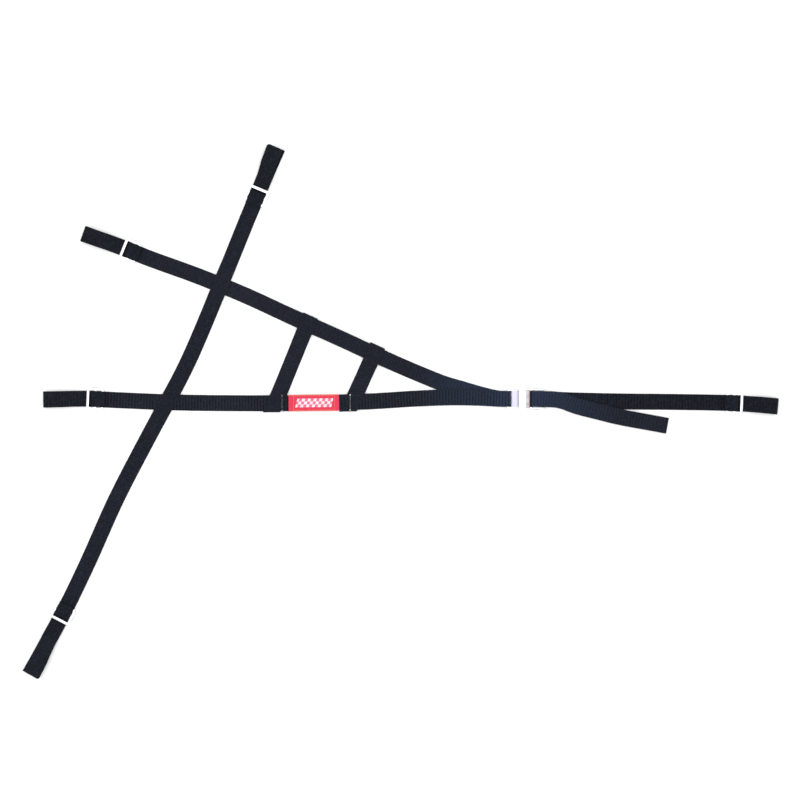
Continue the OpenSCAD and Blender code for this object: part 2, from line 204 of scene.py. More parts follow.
makeStudio()
print("studio lit")

# ---- finishes ----

weave = {"pitch": 4.75, "depth": 0.15, "edge": 1.6, "width": 25.4, "thick": 1.38,
         "yarn": 0.62, "twist": 0.5, "selvedgeFrom": 11.3, "selvedgeFade": 1.4}
# the webbing's own colours, with three painted ones: a bluish painted sheen near the buckle, a dark for the
# painted shade in the rib grooves (also used between the yarns and for dark specks) and a light for the painted
# highlight on the rib crests (also used for lint specks and mottling)
dyeAndPaintedLight = {"ribTop": shade(27, 30, 40), "deepTop": shade(20, 23, 31), "blueTop": shade(42, 54, 76),
       "groove": shade(6, 7, 10), "selvedge": shade(34, 36, 44), "lint": shade(48, 52, 62),
       "blueX": 185, "blueReach": 170, "mottle": 9.0, "speckle": 310.0, "fuzz": 1500.0}


def strapFinish(name, top):
    material, maker = newMaterial(name)
    along = maker.node("ShaderNodeAttribute", {"attribute_name": "along"})["Fac"]
    across = maker.node("ShaderNodeAttribute", {"attribute_name": "across"})["Fac"]
    ribbing = maker.node("ShaderNodeAttribute", {"attribute_name": "ribbing"})["Fac"]
    deep = maker.node("ShaderNodeAttribute", {"attribute_name": "deep"})["Fac"]
    where = maker.node("ShaderNodeTexCoord")["Object"]
    rib = maker.wave(along / (weave["pitch"] * mm))
    yarn = maker.wave(across / (weave["yarn"] * mm) + 0.5 * rib)    # warp yarns lean over each rib
    twist = maker.wave(along / (weave["twist"] * mm) + across / (weave["yarn"] * mm))
    mottle = maker.noise(where, dyeAndPaintedLight["mottle"], 4.0)
    fuzz = maker.noise(where, dyeAndPaintedLight["fuzz"], 2.0)
    sideX = maker.node("ShaderNodeSeparateXYZ", inputs={"Vector": where})["X"]
    fromBuckle = abs(sideX - dyeAndPaintedLight["blueX"] * mm) / (dyeAndPaintedLight["blueReach"] * mm)
    sheenNearBuckle = maker.limit(1 - fromBuckle) * (1 - 0.85 * deep)    # a painted bluish sheen, strongest near the buckle and weaker on the deeper black
    tone = maker.blendColours(deep, top, dyeAndPaintedLight["deepTop"])
    tone = maker.blendColours(sheenNearBuckle, tone, dyeAndPaintedLight["blueTop"])
    edge = maker.limit((abs(across) - weave["selvedgeFrom"] * mm) / (weave["selvedgeFade"] * mm))
    tone = maker.blendColours(edge * 0.5, tone, dyeAndPaintedLight["selvedge"])
    # painted highlight on the rib crests
    crest = rib ** 2.0 * ribbing * (1 - 0.85 * deep) * (1 - 0.6 * sheenNearBuckle)
    tone = maker.blendColours(crest * 0.24, tone, dyeAndPaintedLight["lint"])
    shadow = maker.limit((1 - rib) ** 1.3 * (0.1 + 0.9 * ribbing) * (1 - edge))
    tone = maker.blendColours(shadow * (0.88 - 0.1 * sheenNearBuckle), tone, dyeAndPaintedLight["groove"])
    tone = maker.blendColours(maker.limit(0.55 - 0.5 * yarn) * 0.5, tone, dyeAndPaintedLight["groove"])
    speckle = maker.noise(where, dyeAndPaintedLight["speckle"], 3.0, 0.65)
    tone = maker.blendColours(maker.limit((speckle - 0.5) * 3.0) * 0.6, tone, dyeAndPaintedLight["lint"])
    tone = maker.blendColours(maker.limit((0.48 - speckle) * 3.0) * 0.6, tone, dyeAndPaintedLight["groove"])
    tone = maker.blendColours(maker.limit((mottle - 0.5) * 2.0) * 0.3, tone, dyeAndPaintedLight["lint"])
    height = 0.42 * yarn + 0.16 * twist + 0.2 * rib * (1 - ribbing) + 0.12 * fuzz
    rough = 0.62 + 0.25 * maker.limit(mottle)
    finishMaterial(maker, {"Base Color": tone, "Roughness": rough, "Specular IOR Level": 0.07,
                           "Sheen Weight": 0.01, "Sheen Roughness": 0.45}, height, 0.00022)
    return material


def threadFinish(name, tone, gloss):
    material, maker = newMaterial(name)
    where = maker.node("ShaderNodeTexCoord")["Object"]
    strands = maker.noise(where, 2600.0, 2.0)
    patches = maker.noise(where, 160.0, 2.0)
    dark = tuple(c * 0.45 for c in tone[:3]) + (1,)
    tone = maker.blendColours(maker.limit(strands * 0.6 + patches * 0.5 - 0.1), dark, tone)
    finishMaterial(maker, {"Base Color": tone, "Roughness": 0.75 - 0.2 * patches,
                           "Specular IOR Level": gloss}, strands, 0.00012)
    return material


labelLook = {"field": shade(238, 66, 96), "dark": shade(214, 48, 78), "hem": shade(236, 96, 90),
             "square": shade(232, 228, 240), "under": shade(232, 150, 170),
             "bandLength": 57.0, "bandWidth": 13.8, "rows": 3, "lean": 0.26, "squareShift": 40.5,
             "warp": 0.3, "weft": 0.42, "hemFrom": 11.6, "hemFade": 0.5, "fading": 90.0}


def labelFinish():
    material, maker = newMaterial("wovenLabel")
    along = maker.node("ShaderNodeAttribute", {"attribute_name": "along"})["Fac"] * 1000
    across = maker.node("ShaderNodeAttribute", {"attribute_name": "across"})["Fac"] * 1000
    side = labelLook["bandWidth"] / labelLook["rows"]
    x = along - labelSize["length"] / 2 - across * labelLook["lean"]
    column = maker.maths("FLOOR", x / side + labelLook["squareShift"])
    row = maker.maths("FLOOR", across / side + labelLook["squareShift"])
    odd = maker.maths("FLOORED_MODULO", column + row, 2.0)
    inside = (abs(x) < labelLook["bandLength"] / 2) * (abs(across) < labelLook["bandWidth"] / 2)
    threads = maker.wave(along / labelLook["weft"]) * maker.wave(across / labelLook["warp"])
    tone = maker.blendColours(maker.limit(0.75 * threads), labelLook["dark"], labelLook["field"])
    tone = maker.blendColours(inside * 0.5, tone, labelLook["under"])
    tone = maker.blendColours(odd * inside * 0.95, tone, labelLook["square"])
    hem = maker.limit((abs(across) - labelLook["hemFrom"]) / labelLook["hemFade"]) * 0.6
    tone = maker.blendColours(hem, tone, labelLook["hem"])
    where = maker.node("ShaderNodeTexCoord")["Object"]
    faded = maker.limit(maker.noise(where, labelLook["fading"]) - 0.42) * 0.5
    tone = maker.blendColours(faded, tone, labelLook["dark"])
    finishMaterial(maker, {"Base Color": tone, "Roughness": 0.72 - 0.25 * odd * inside,
                           "Specular IOR Level": 0.3, "Sheen Weight": 0.05}, threads, 0.00012)
    return material


scratch = {"lines": 2200.0, "cloud": 120.0, "scuffs": 420.0, "scuffShape": (1, 6, 2), "scuffFrom": 0.62,
           "scuffTone": shade(150, 150, 152)}


def metalFinish(name, tone, rough, brush=(1, 1, 1), wear=0.3, tintAndShadeZones=()):
    material, maker = newMaterial(name)
    where = maker.node("ShaderNodeTexCoord")["Object"]
    lines = maker.noise(maker.stretched(where, brush), scratch["lines"], 3.0, 0.7)
    cloud = maker.noise(where, scratch["cloud"], 4.0)
    rubbed = maker.noise(maker.stretched(where, scratch["scuffShape"]), scratch["scuffs"], 5.0, 0.75)
    scuffs = maker.limit((rubbed - scratch["scuffFrom"]) * 6)
    dull = tuple(c * (1 - wear) for c in tone[:3]) + (1,)
    skin = maker.blendColours(maker.limit(cloud * 0.7 + lines * 0.3 - 0.15), dull, tone)
    skin = maker.blendColours(scuffs * 0.35, skin, scratch["scuffTone"])
    for sides, zoneTone in tintAndShadeZones:    # parts of the piece with a tone laid over the metal: a tint, and painted shade and reflection
        inside = 1.0
        for axis, begins, way, soft in sides:
            side = maker.node("ShaderNodeSeparateXYZ", inputs={"Vector": where})[axis]
            inside = maker.limit((side - begins * mm) * (way / (soft * mm)) + 0.5) * inside
        skin = maker.blendColours(inside, skin, zoneTone)
    finishMaterial(maker, {"Base Color": skin, "Metallic": 1.0,
                           "Roughness": rough + 0.12 * lines + 0.1 * scuffs},
                   lines + 0.6 * cloud - 0.5 * scuffs, 0.00004)
    return material


# ---- the shape of webbing ----

corner = {"straight": 89.5, "arcStep": 0.14, "gap": 0.01}      # two corners in a row never quite meet


def smoothTrack(route, steps=32):   # Catmull-Rom line through the points, with the length along it
    points = np.array(route, float)
    padded = np.vstack([2 * points[0] - points[1], points, 2 * points[-1] - points[-2]])
    t = (np.arange(steps) / steps)[:, None]
    parts = []
    for a, b, c, d in zip(padded, padded[1:], padded[2:], padded[3:]):
        square, cube = 2 * a - 5 * b + 4 * c - d, 3 * b - a - 3 * c + d
        parts.append(0.5 * (2 * b + (c - a) * t + square * t ** 2 + cube * t ** 3))
    line = np.vstack(parts + [points[-1:]])
    length = np.concatenate([[0], np.cumsum(np.linalg.norm(np.diff(line, axis=0), axis=1))])
    return length, line


def spot(track, s):                 # where the track is after a length s
    return np.array([np.interp(s, track[0], track[1][:, 0]), np.interp(s, track[0], track[1][:, 1])])


def heading(track, s):
    ahead = spot(track, s + 2) - spot(track, s - 2)
    return math.atan2(ahead[1], ahead[0])


def total(track):
    return track[0][-1]


def reach(track, point):            # the track's length up to where it is nearest to a point
    return track[0][np.argmin(np.linalg.norm(track[1] - np.array(point), axis=1))]


def roundCorner(a, b, c, radius):
    a, b, c = (np.array(p[:2], float) for p in (a, b, c))
    u, v = (a - b) / np.linalg.norm(a - b), (c - b) / np.linalg.norm(c - b)
    half = math.acos(max(-1, min(1, float(u @ v)))) / 2
    if radius == 0 or half > math.radians(corner["straight"]):
        return [b]
    middle = (u + v) / np.linalg.norm(u + v) * radius / math.sin(half)
    start, turn = u * radius / math.tan(half) - middle, math.pi - 2 * half
    steps = max(3, math.ceil(turn / corner["arcStep"]))
    side = -1 if u[0] * v[1] - u[1] * v[0] > 0 else 1
    arc = []
    for k in range(steps + 1):
        t = side * turn * k / steps
        arc.append(b + middle + np.array([start[0] * math.cos(t) - start[1] * math.sin(t),
                                          start[0] * math.sin(t) + start[1] * math.cos(t)]))
    return arc


def sidePath(points, step=0.42):    # from [length, height, corner radius] to close steps of [length, height]
    path = [np.array(points[0][:2], float)]
    for a, b, c in zip(points, points[1:], points[2:]):
        path += roundCorner(a, b, c, b[2] if len(b) > 2 else 0)
    path.append(np.array(points[-1][:2], float))
    dense = []
    for p, q in zip(path, path[1:]):
        n = max(1, math.ceil(np.linalg.norm(q - p) / step))
        dense += [p + (q - p) * k / n for k in range(n)]
    return dense + [path[-1]]


def stations(track, sideView, width=weave["width"], flip=1, drift=0.0, driftTo=1.0):
    # rows of [middle, half of the width]; a drift lays the upper layer askew, most of all at the loop's end
    rows = []
    for s, z in sidePath(sideView):
        c, h = spot(track, s), heading(track, s)
        left = np.array([-math.sin(h), math.cos(h), 0.0])
        share = max(0, 2 * (z - z1) / (loop["clear"] + laid["thick"]) - 1) * max(0, 1 - s / driftTo)
        rows.append((np.array([c[0], c[1], z]) - drift * share * left, flip * width / 2 * left))
    return rows


def ringShape(thick, width):        # a strap's cross section, as shares of the half width and half thickness
    flat = np.linspace(1, -1, 11) * (1 - thick / width)
    turn = [(math.cos(a), math.sin(a)) for a in np.radians([22.5, 45, 67.5, 90, 112.5, 135, 157.5])]
    left = [(-1 + thick / width - s * thick / width, c) for c, s in turn]
    right = [(-x, -y) for x, y in left]
    return [(x, 1) for x in flat] + left + [(x, -1) for x in flat[::-1]] + right


hotCut = {"thins": 0.35, "reach": 0.9}   # a hot knife thins the end that it cuts


class StripMesh:                    # collects one or more strips of webbing for one piece
    def __init__(self, thick=weave["thick"], width=weave["width"]):
        self.ring = ringShape(thick, width)
        self.thick, self.width = thick, width
        self.points, self.faces = [], []
        self.along, self.across, self.ribbing, self.deep = [], [], [], []

    def add(self, rows, ribbing=1.0, deep=0.0, cutStart=False, cutEnd=False):
        n, count, base = len(rows), len(self.ring), len(self.points)
        middles = np.array([r[0] for r in rows])
        walked = np.concatenate([[0], np.cumsum(np.linalg.norm(np.diff(middles, axis=0), axis=1))])
        for i, (middle, half) in enumerate(rows):
            ahead = middles[min(i + 1, n - 1)] - middles[max(i - 1, 0)]
            up = np.cross(ahead, half)
            up *= self.thick / 2 / np.linalg.norm(up)
            nearCut = min([walked[i]] * cutStart + [walked[-1] - walked[i]] * cutEnd + [hotCut["reach"]])
            melt = 1 - hotCut["thins"] * max(0, 1 - nearCut / hotCut["reach"]) ** 2
            for a, b in self.ring:
                self.points.append(middle + a * half + b * melt * up)
                self.along.append(walked[i])
                self.across.append(a * self.width / 2)
                self.ribbing.append(ribbing)
                self.deep.append(deep)
        for i in range(n - 1):
            for k in range(count):
                a, b = base + i * count + k, base + i * count + (k + 1) % count
                self.faces.append((a, b, b + count, a + count))
        self.faces.append(tuple(range(base + count - 1, base - 1, -1)))
        self.faces.append(tuple(range(base + (n - 1) * count, base + n * count)))
        return walked[-1]

    def build(self, name):
        mesh = bpy.data.meshes.new(name)
        mesh.from_pydata([tuple(p * mm) for p in self.points], [], self.faces)
        for label, values, scale in (("along", self.along, mm), ("across", self.across, mm),
                                     ("ribbing", self.ribbing, 1), ("deep", self.deep, 1)):
            layer = mesh.attributes.new(label, "FLOAT", "POINT")
            layer.data.foreach_set("value", np.array(values, np.float32) * scale)
        return mesh


def newTree(name, sizes):           # a geometry tree with named inputs, and its identifiers by name
    tree = bpy.data.node_groups.new(name, "GeometryNodeTree")
    tree.interface.new_socket("Geometry", in_out="INPUT", socket_type="NodeSocketGeometry")
    named = {}
    for label, kind in sizes:
        named[label] = tree.interface.new_socket(label, in_out="INPUT", socket_type=kind).identifier
    tree.interface.new_socket("Geometry", in_out="OUTPUT", socket_type="NodeSocketGeometry")
    maker = NodeMaker(tree)
    return tree, maker, maker.node("NodeGroupInput"), named


def endTree(maker, shape, given):
    shape = maker.node("GeometryNodeRealizeInstances", inputs={"Geometry": shape})
    shape = maker.node("GeometryNodeSetMaterial", inputs={"Geometry": shape, "Material": given["Finish"]})
    maker.node("NodeGroupOutput", inputs={"Geometry": shape})


def ribTree():                      # presses cross ribs into a strap's two faces
    tree, maker, given, named = newTree(
        "strapRibs", [("Pitch", "NodeSocketFloat"), ("Depth", "NodeSocketFloat"),
                      ("Half Width", "NodeSocketFloat"), ("Edge", "NodeSocketFloat"),
                      ("Finish", "NodeSocketMaterial")])
    along, across, ribbing = (
        maker.node("GeometryNodeInputNamedAttribute", {"data_type": "FLOAT"}, {"Name": label})
        for label in ("along", "across", "ribbing"))
    rib = maker.wave(along / given["Pitch"]) ** 0.6
    fade = maker.limit((given["Half Width"] - abs(across)) / given["Edge"])
    sink = (rib - 1) * given["Depth"] * fade * ribbing
    outwards = maker.node("GeometryNodeInputNormal")
    offset = maker.node("ShaderNodeVectorMath", {"operation": "SCALE"}, {0: outwards, "Scale": sink})
    shape = maker.node("GeometryNodeSetPosition",
                       inputs={"Geometry": given["Geometry"], "Offset": offset})
    endTree(maker, shape, given)
    return tree, named


def stitchTree():                   # lays thread stitches end to end along a seam's line
    tree, maker, given, named = newTree(
        "stitchRun", [("Stitch", "NodeSocketFloat"), ("Gap", "NodeSocketFloat"),
                      ("Thread", "NodeSocketFloat"), ("Finish", "NodeSocketMaterial")])
    line = maker.node("GeometryNodeMeshToCurve", inputs={"Mesh": given["Geometry"]})
    line = maker.node("GeometryNodeResampleCurve", {"mode": "LENGTH"},
                      {"Curve": line, "Length": given["Stitch"] + given["Gap"]})
    tangent = maker.node("GeometryNodeInputTangent")
    turn = maker.node("FunctionNodeAlignEulerToVector", {"axis": "X"}, {"Vector": tangent})
    bead = maker.node("GeometryNodeMeshUVSphere", inputs={"Segments": 8, "Rings": 6, "Radius": 1.0})
    bead = maker.node("GeometryNodeSetShadeSmooth", inputs={"Geometry": bead})
    size = maker.node("ShaderNodeCombineXYZ",
                      inputs={"X": given["Stitch"] / 2, "Y": given["Thread"] / 2, "Z": given["Thread"] / 2})
    shape = maker.node("GeometryNodeInstanceOnPoints",
                       inputs={"Points": line, "Instance": bead, "Rotation": turn, "Scale": size})
    endTree(maker, shape, given)
    return tree, named


ribs, ribInputs = ribTree()
stitches, stitchInputs = stitchTree()


def settle(piece):                  # the modifiers' result becomes the piece's own mesh
    graph = bpy.context.evaluated_depsgraph_get()
    mesh = bpy.data.meshes.new_from_object(piece.evaluated_get(graph),
                                           preserve_all_data_layers=True, depsgraph=graph)
    mesh.name = piece.name
    piece.modifiers.clear()
    piece.data = mesh


def runTree(piece, tree, identifiers, values):
    modifier = piece.modifiers.new(tree.name, "NODES")
    modifier.node_group = tree
    for label, value in values.items():
        modifier[identifiers[label]] = value
    settle(piece)


def strapPiece(name, strips, finish):
    piece = place(strips.build(name), name)
    runTree(piece, ribs, ribInputs, {"Pitch": weave["pitch"] * mm, "Depth": weave["depth"] * mm,
                                     "Half Width": strips.width / 2 * mm, "Edge": weave["edge"] * mm,
                                     "Finish": finish})
    piece.data.shade_smooth()
    piece.data.set_sharp_from_angle(angle=math.radians(60))
    return piece


black = strapFinish("blackWebbing", dyeAndPaintedLight["ribTop"])
blackThread = threadFinish("blackThread", shade(33, 35, 42), 0.15)
orangeThread = threadFinish("orangeThread", shade(255, 176, 92), 0.4)
paleThread = threadFinish("paleThread", shade(238, 240, 236), 0.4)

# ---- routes of the straps, and the heights at which they lie ----

routes = {
    "lower": [[-566, 18.5], [-498, 19.5], [-454, 17.5], [-370, 14], [-282, 12.5], [-158, 12.5], [-54, 15],
              [22, 19.5], [80, 21.7], [125, 21.1], [157, 19.4], [177, 19.3]],
    "upper": [[-503, 282], [-438, 258.5], [-397, 242], [-320, 214], [-244, 183], [-168, 148], [-92, 114],
              [-16, 79], [60, 47], [98, 35], [132, 25.2], [157, 19.8], [177, 19.3]],
    "cross": [[-194, 418], [-212, 377], [-243, 303], [-275, 224], [-321, 113], [-351, 49], [-402, -46],
              [-451, -141], [-494, -237], [-530, -312], [-566, -379], [-588, -418]],
    "anchor": [[600, 7], [556, 11], [514, 13], [441, 14.3], [350, 15.2], [270, 17], [232, 18.9], [205, 19.4]],
    "tail": [[205, 19.4], [232, 18.9], [247, 18.2], [259, 15.6], [270, 11.6], [281, 7.6], [294, 4], [308, 0.6],
             [346, -8.8], [384, -16], [425, -23.5]],
}
laid = {"thick": 1.4, "gap": 0.05, "ramp": 12, "crossing": 24}
layer = laid["thick"] + laid["gap"]
z1 = laid["thick"] / 2              # one, two and three layers up
z2 = z1 + layer
z3 = z2 + layer

lowerTrack = smoothTrack(routes["lower"])
upperTrack = smoothTrack(routes["upper"])
topTrack = smoothTrack(routes["cross"])
bottomTrack = smoothTrack(routes["cross"][::-1])
anchorTrack = smoothTrack(routes["anchor"])
tailTrack = smoothTrack(routes["tail"])

# ---- adjustable end loops ----

slide = {"pitch": 11.5, "bar": 4, "z": 3, "thick": 3, "climb": 60, "bevel": 0.85,
         "over": 0.1, "beside": 0.69, "topCorner": 1.2, "lowCorner": 3}
ends = {                            # track, length of the loop, body of the strap, body of the slide
    "lower_left": (lowerTrack, 71, "net", "lower_left_slide"),
    "upper_left": (upperTrack, 69, "net", "upper_left_slide"),
    "top": (topTrack, 72, "net", "top_slide"),
    "bottom": (bottomTrack, 99, "net", "bottom_slide"),
    "right": (anchorTrack, 58, "anchor", "right_slide"),
}
loop = {"clear": 6, "flat": 30, "cutEnd": 4, "leadIn": 84, "followFrom": 80, "followTo": 29,
        "bightFrom": 4, "bightTo": 8, "settled": 7, "easyCorner": 12,
        "askew": {"top": 4.3, "bottom": 4.6, "lower_left": 0.6, "upper_left": 0.6, "right": 0.6}}

# how deep the ribs and the black are on the strap behind each slide, on its second pass and on the loop's end
looks = {"lower_left": (1.0, 0.0), "upper_left": (0.3, 0.0), "top": (0.3, 0.3), "bottom": (0.3, 0.3),
         "right": (1.0, 0.9), "secondPass": (0.15, 0.8), "bight": (0.5, 1.0)}

overBar = slide["z"] + slide["thick"] + slide["over"] + z1
slotRise = (overBar - z1) / math.tan(math.radians(slide["climb"]))
topBend = slide["bar"] / 2 + slide["beside"]
lowBend = topBend + slotRise
layerShift = layer * math.tan(math.radians(slide["climb"] / 2))


def firstPass(n):                   # from the strap, up over the slide's middle bar, to below the visible bar
    middle, top, low = n + slide["pitch"], slide["topCorner"], slide["lowCorner"]
    return [[n + loop["leadIn"], z1], [middle + lowBend, z1, low], [middle + topBend, overBar, top],
            [middle - topBend, overBar, top], [middle - lowBend, z1, low], [n, z1]]


def secondPass(n):                  # back up from below the visible bar, over the first pass, to the cut end
    middle, far, top, low = n + slide["pitch"], n + 2 * slide["pitch"], slide["topCorner"], slide["lowCorner"]
    return [[n, z2], [middle - lowBend - layerShift, z2, low - layer],
            [middle - topBend - layerShift, overBar + layer, top + layer],
            [middle + topBend + 1.5, overBar + layer, low], [far - 2, overBar, low],
            [far + loop["cutEnd"], overBar]]


def loopPass(n):                    # out along the floor, round the end, and back
    high = z1 + loop["clear"] + laid["thick"]
    bend, easy = (high - z1) / 2 - corner["gap"], loop["easyCorner"]
    return [[n, z1], [z1, z1, bend], [z1, high, bend], [loop["flat"], high, easy],
            [n - loop["settled"], z2, easy], [n, z2]]


def flatPoint(track, s):
    x, y = spot(track, s)
    return (float(x) * mm, float(y) * mm, z1 * mm)


def makeEnd(name):
    track, n, strapBody, slideBody = ends[name]
    turns = StripMesh()
    ribbing, deep = looks[name]
    length = turns.add(stations(track, firstPass(n)), ribbing, deep)
    length += turns.add(stations(track, secondPass(n)), *looks["secondPass"], cutEnd=True)
    turned = strapPiece(f"{name}_turn", turns, black)
    flatPoint(track, n + loop["followFrom"])
    flatPoint(track, n + loop["followTo"])
    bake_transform(turned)

    bight = StripMesh()
    rows = stations(track, loopPass(n), drift=loop["askew"][name], driftTo=n)
    length = bight.add(rows, max(ribbing, looks["bight"][0]), looks["bight"][1])
    ended = strapPiece(f"{name}_bight", bight, black)
    flatPoint(track, n - loop["bightFrom"])
    flatPoint(track, loop["bightTo"])
    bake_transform(ended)
    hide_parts(f"{name}_loop")


for name in ends:
    makeEnd(name)
print("five end loops laid")

# ---- straps of the net ----

# a short strap's start, its end, and the turn of each of its folds
ladders = {"long": ([-198, 12.5], [-147, 138], 0, -24.3), "short": ([-76, 13.8], [-41, 91], 1, -24.8)}
wrap = {"over": 1.8, "tuck": 30, "stepFrom": 16.5, "stepTo": 19, "past": 1, "down": 8, "turnFrom": 20}
lifted = {"lower": ([-222, 13], [-54, 13]), "upper": ([-172, 150], [-16, 79]), "byTongue": [36, 20],
          "crossings": ([-283, 201], [-368, 17])}      # where straps lie one layer up
tongue = {"z": 1.6, "thick": 1.8, "barX": 174.8, "foldBack": 10, "beside": 0.25, "over": 0.12}
tongueFoldX = tongue["barX"] + tongue["beside"] + z1
tongueTop = tongue["z"] + tongue["thick"] + tongue["over"] + z1
tongueLow = tongue["z"] - tongue["over"] - z1
pastFold = routes["lower"][-1][0] - tongueFoldX


def lowerSide():
    start = ends["lower_left"][1] + loop["leadIn"]
    spanFrom, spanTo = (reach(lowerTrack, point) for point in lifted["lower"])
    under = reach(lowerTrack, lifted["byTongue"])
    s = total(lowerTrack) - pastFold
    ramp = laid["ramp"]
    return [[start, z1], [spanFrom - ramp, z1], [spanFrom, z2], [spanTo, z2], [spanTo + ramp, z1],
            [under - ramp, z1], [under, z2], [s - 20, z2, 8], [s - 7.5, tongueTop, 3], [s, tongueTop, 1],
            [s, tongueLow, 1], [s - tongue["foldBack"], tongueLow]]


def upperSide():
    start = ends["upper_left"][1] + loop["leadIn"]
    spanFrom, spanTo = (reach(upperTrack, point) for point in lifted["upper"])
    end = total(upperTrack) - pastFold
    ramp = laid["ramp"]
    return [[start, z1], [spanFrom - ramp, z1], [spanFrom, z2], [spanTo, z2], [spanTo + ramp, z1],
            [end - tongue["foldBack"] - 8, z1], [end - tongue["foldBack"], tongueLow]]


def crossSide():
    side = [[ends["top"][1] + loop["leadIn"], z1]]
    for point in lifted["crossings"]:
        s, half, ramp = reach(topTrack, point), laid["crossing"], laid["ramp"]
        side += [[s - half - ramp, z1], [s - half, z2], [s + half, z2], [s + half + ramp, z1]]
    return side + [[total(topTrack) - ends["bottom"][1] - loop["leadIn"], z1]]


def makeStrap(name, track, sideView, nodes, ribbing=1.0, deep=0.0):
    strips = StripMesh()
    length = strips.add(stations(track, sideView), ribbing, deep)
    piece = strapPiece(name, strips, black)
    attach(piece, "net")
    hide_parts(*nodes)


makeStrap("upper_webbing", upperTrack, upperSide(), ["upper_strap"], 0.3)
makeStrap("lower_webbing", lowerTrack, lowerSide(), ["lower_strap"])
makeStrap("cross_webbing", topTrack, crossSide(), ["cross_strap"], 0.3, 0.3)


def ladderRows(start, end, lowTurn, highTurn):
    # each fold's cross line turns to lie along the edge of the strap that it wraps
    start, end = np.array(start, float), np.array(end, float)
    run = end - start
    length, h = np.linalg.norm(run), math.atan2(run[1], run[0])
    lowTurn, highTurn = math.radians(lowTurn), math.radians(highTurn)
    out, tuck, r = weave["width"] / 2 + wrap["over"] - z1, wrap["tuck"], layer - 2 * corner["gap"]
    low, high = out / math.sin(h - lowTurn), length + out / math.sin(h - highTurn)
    stepFrom, stepTo, past, down = wrap["stepFrom"], wrap["stepTo"], tuck + wrap["past"], tuck + wrap["down"]
    side = [[tuck, z1], [-low, z1, r], [-low, z3, r], [stepFrom, z3, 2], [stepTo, z2, 2], [past, z2],
            [down, z1], [length - down, z1], [length - past, z2], [length - stepTo, z2, 2],
            [length - stepFrom, z3, 2], [high, z3, r], [high, z1, r], [length - tuck, z1]]
    rows = []
    for s, z in sidePath(side):
        share = max(0, min(1, (s - wrap["turnFrom"]) / (length - 2 * wrap["turnFrom"])))
        turn = lowTurn + (highTurn - lowTurn) * share
        x, y = start + s * run / length
        half = -weave["width"] / 2 / math.sin(h - turn) * np.array([math.cos(turn), math.sin(turn), 0])
        rows.append((np.array([x, y, z]), half))
    return rows


for name, (start, end, lowTurn, highTurn) in ladders.items():
    strips = StripMesh()
    length = strips.add(ladderRows(start, end, lowTurn, highTurn), 0.25, 0.0, cutStart=True, cutEnd=True)
    piece = strapPiece(f"{name}_ladder_webbing", strips, black)
    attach(piece, "net")
    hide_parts(f"{name}_ladder_strap")
print("net of straps laid")

# ---- anchor strap and pull tail, turned round the slide bar ----

bar = {"x": 215.75, "length": 12, "thick": 3.2, "foldRadius": 2.45, "overFloor": 1.2 + 0.1 + z1,
       "splitAfter": 4.4, "dropFrom": 21.5, "dropTo": 29.5}
tail = {"height": 2.45, "hem": 20, "hemZ": z2 + 0.2, "hemFlat": 30, "hemRamp": 55, "dropFrom": 13, "dropTo": 30,
        "followFrom": 228, "followTo": 330, "anchorFollowTo": 380}
turnS = bar["x"] - bar["length"] / 2 + bar["thick"] / 2 - routes["tail"][0][0]
anchorTurn = total(anchorTrack) - turnS
splitS = anchorTurn - bar["splitAfter"]


def tailRows():
    end = total(tailTrack) - z1
    bend = (tail["hemZ"] - z1) / 2 - corner["gap"]
    over = bar["overFloor"] + 2 * bar["foldRadius"]
    rows = stations(tailTrack, [[end - tail["hem"], z1], [end, z1, bend], [end, tail["hemZ"], bend],
                                [end - tail["hemFlat"], tail["hemZ"]], [end - tail["hemRamp"], tail["height"]],
                                [turnS + tail["dropTo"], tail["height"], 12],
                                [turnS + tail["dropFrom"], over, 6], [turnS, over]])
    x, y = spot(tailTrack, turnS)
    half = np.array([0, weave["width"] / 2, 0])
    for a in np.radians(np.arange(10, 180, 10)):
        rows.append((np.array([x - bar["foldRadius"] * math.sin(a), y,
                               bar["overFloor"] + bar["foldRadius"] * (1 + math.cos(a))]), half))
    return rows + stations(anchorTrack, [[anchorTurn, bar["overFloor"]], [splitS, bar["overFloor"]]], flip=-1)


strips = StripMesh()
length = strips.add(tailRows(), 0.5, 0.0, cutStart=True)
piece = strapPiece("tail_webbing", strips, black)
tail["followFrom"] * mm
tail["followTo"] * mm
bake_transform(piece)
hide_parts("pull_tail", "bar_wrap")

strips = StripMesh()
anchorSide = [[splitS, bar["overFloor"]], [anchorTurn - bar["dropFrom"], bar["overFloor"], 4],
              [anchorTurn - bar["dropTo"], z1, 4], [ends["right"][1] + loop["leadIn"], z1]]
length = strips.add(stations(anchorTrack, anchorSide), *looks["right"])
piece = strapPiece("anchor_webbing", strips, black)
tail["followFrom"] * mm
tail["anchorFollowTo"] * mm
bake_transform(piece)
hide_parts("anchor_strap")
print("anchor strap and tail laid")

# ---- label ----

labelSize = {"from": (-178.5, 12.5), "to": (-97, 13.5), "length": 81.5, "width": 26.0, "thick": 0.5,
             "over": 0.3, "round": 0.035, "roundReach": 1.6, "ripple": 0.12, "sway": 0.25}
labelFrom, labelTo = reach(lowerTrack, labelSize["from"]), reach(lowerTrack, labelSize["to"])
labelMiddle = z2 + z1 + labelSize["over"]


